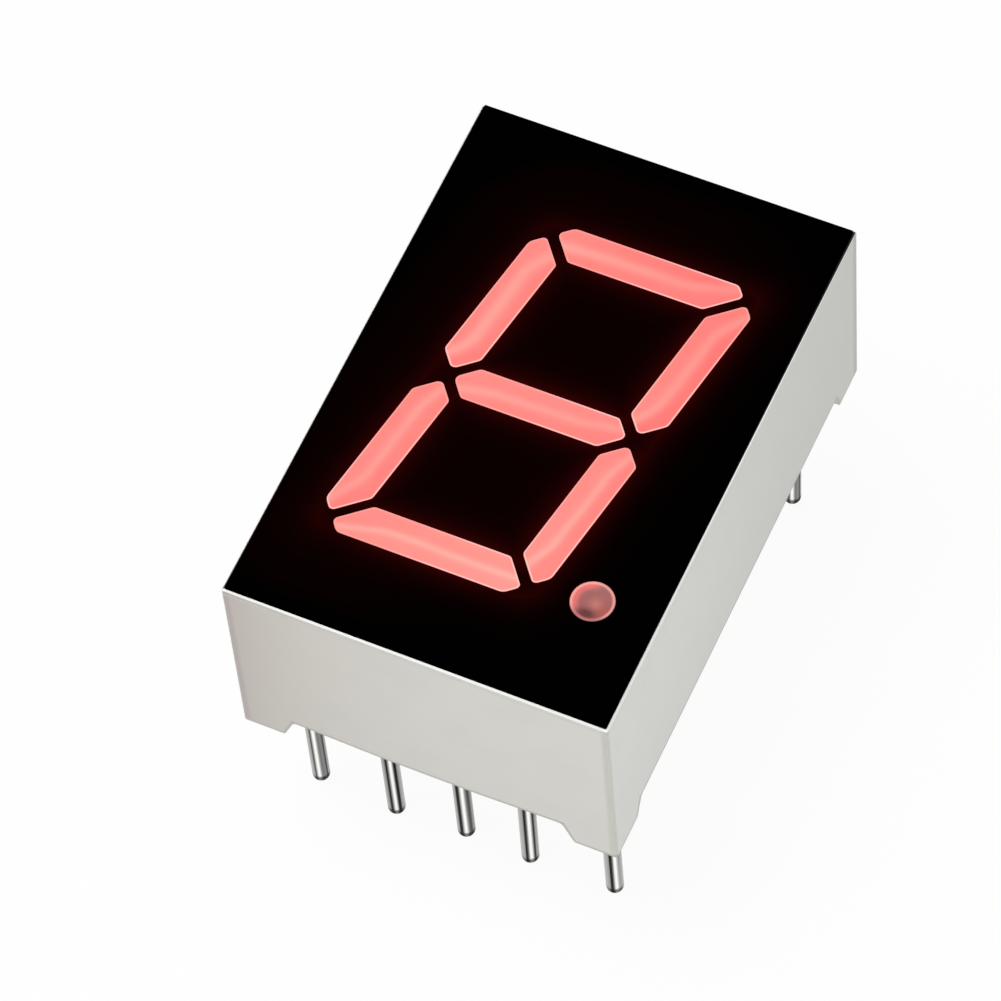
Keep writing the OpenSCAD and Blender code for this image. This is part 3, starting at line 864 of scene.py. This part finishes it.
def boardLaminate():
    finish = Finish("boardLaminate", {})
    threads = {"Vector": finish.place, "Scale": laminate["threads"]}
    warp = finish.node("ShaderNodeTexWave", {"bands_direction": "X"}, threads)
    weft = finish.node("ShaderNodeTexWave", {"bands_direction": "Y"}, threads)
    weave = warp.most(weft)
    tone = finish.blend(weave, colour(laminate["resin"]), colour(laminate["thread"]))
    cloud = finish.noise(laminate["cloudWaves"], 3) * 0.5
    smoothest, rougher = laminate["roughness"]
    finish.feed({"Base Color": finish.blend(cloud, tone, colour(laminate["cloud"])),
                 "Roughness": smoothest + weave * rougher})
    finish.bumps((weave, laminate["depth"]))
    return finish


def trackCopper():
    finish = Finish("trackCopper", {"Metallic": 1})
    rub = finish.noise(copper["waves"], 3)
    smoothest, rougher = copper["roughness"]
    finish.feed({"Base Color": finish.blend(rub, colour(copper["dark"]), colour(copper["rubbed"])),
                 "Roughness": smoothest + rub * rougher})
    finish.bumps((rub, copper["depth"]))
    return finish


def chipCrystal():
    finish = Finish("chipCrystal", {"Emission Strength": 1})
    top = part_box("led_chip_a")[1].z / mm
    plated = finish.between(finish.z, *(top - depth for depth in chip["goldFrom"]))
    rough = finish.noise(chip["waves"], 2)
    smoothest, rougher = chip["roughness"]
    finish.feed({"Base Color": finish.blend(plated, colour(chip["body"]), colour(chip["gold"])),
                 "Metallic": plated, "Roughness": smoothest + rough * rougher,
                 "Emission Color": finish.blend(plated, chip["glow"], (0, 0, 0, 1))})
    finish.bumps((rough, chip["depth"]))
    return finish


def bondGold():
    finish = Finish("bondGold", {"Metallic": 1})
    drawn = finish.noise(gold["waves"], 2)
    smoothest, rougher = gold["roughness"]
    finish.feed({"Base Color": finish.blend(drawn, colour(gold["dark"]), colour(gold["bright"])),
                 "Roughness": smoothest + drawn * rougher})
    finish.bumps((drawn, gold["depth"]))
    return finish


places = list(letters) + ["point"]
dress(boardLaminate(), "circuit_board")
dress(trackCopper(), "copper_tracks")
dress(chipCrystal(), *["led_chip_" + place for place in places])
dress(bondGold(), *["bond_wire_" + place for place in places])
print("board, copper, chips and wires dressed")

deselect()
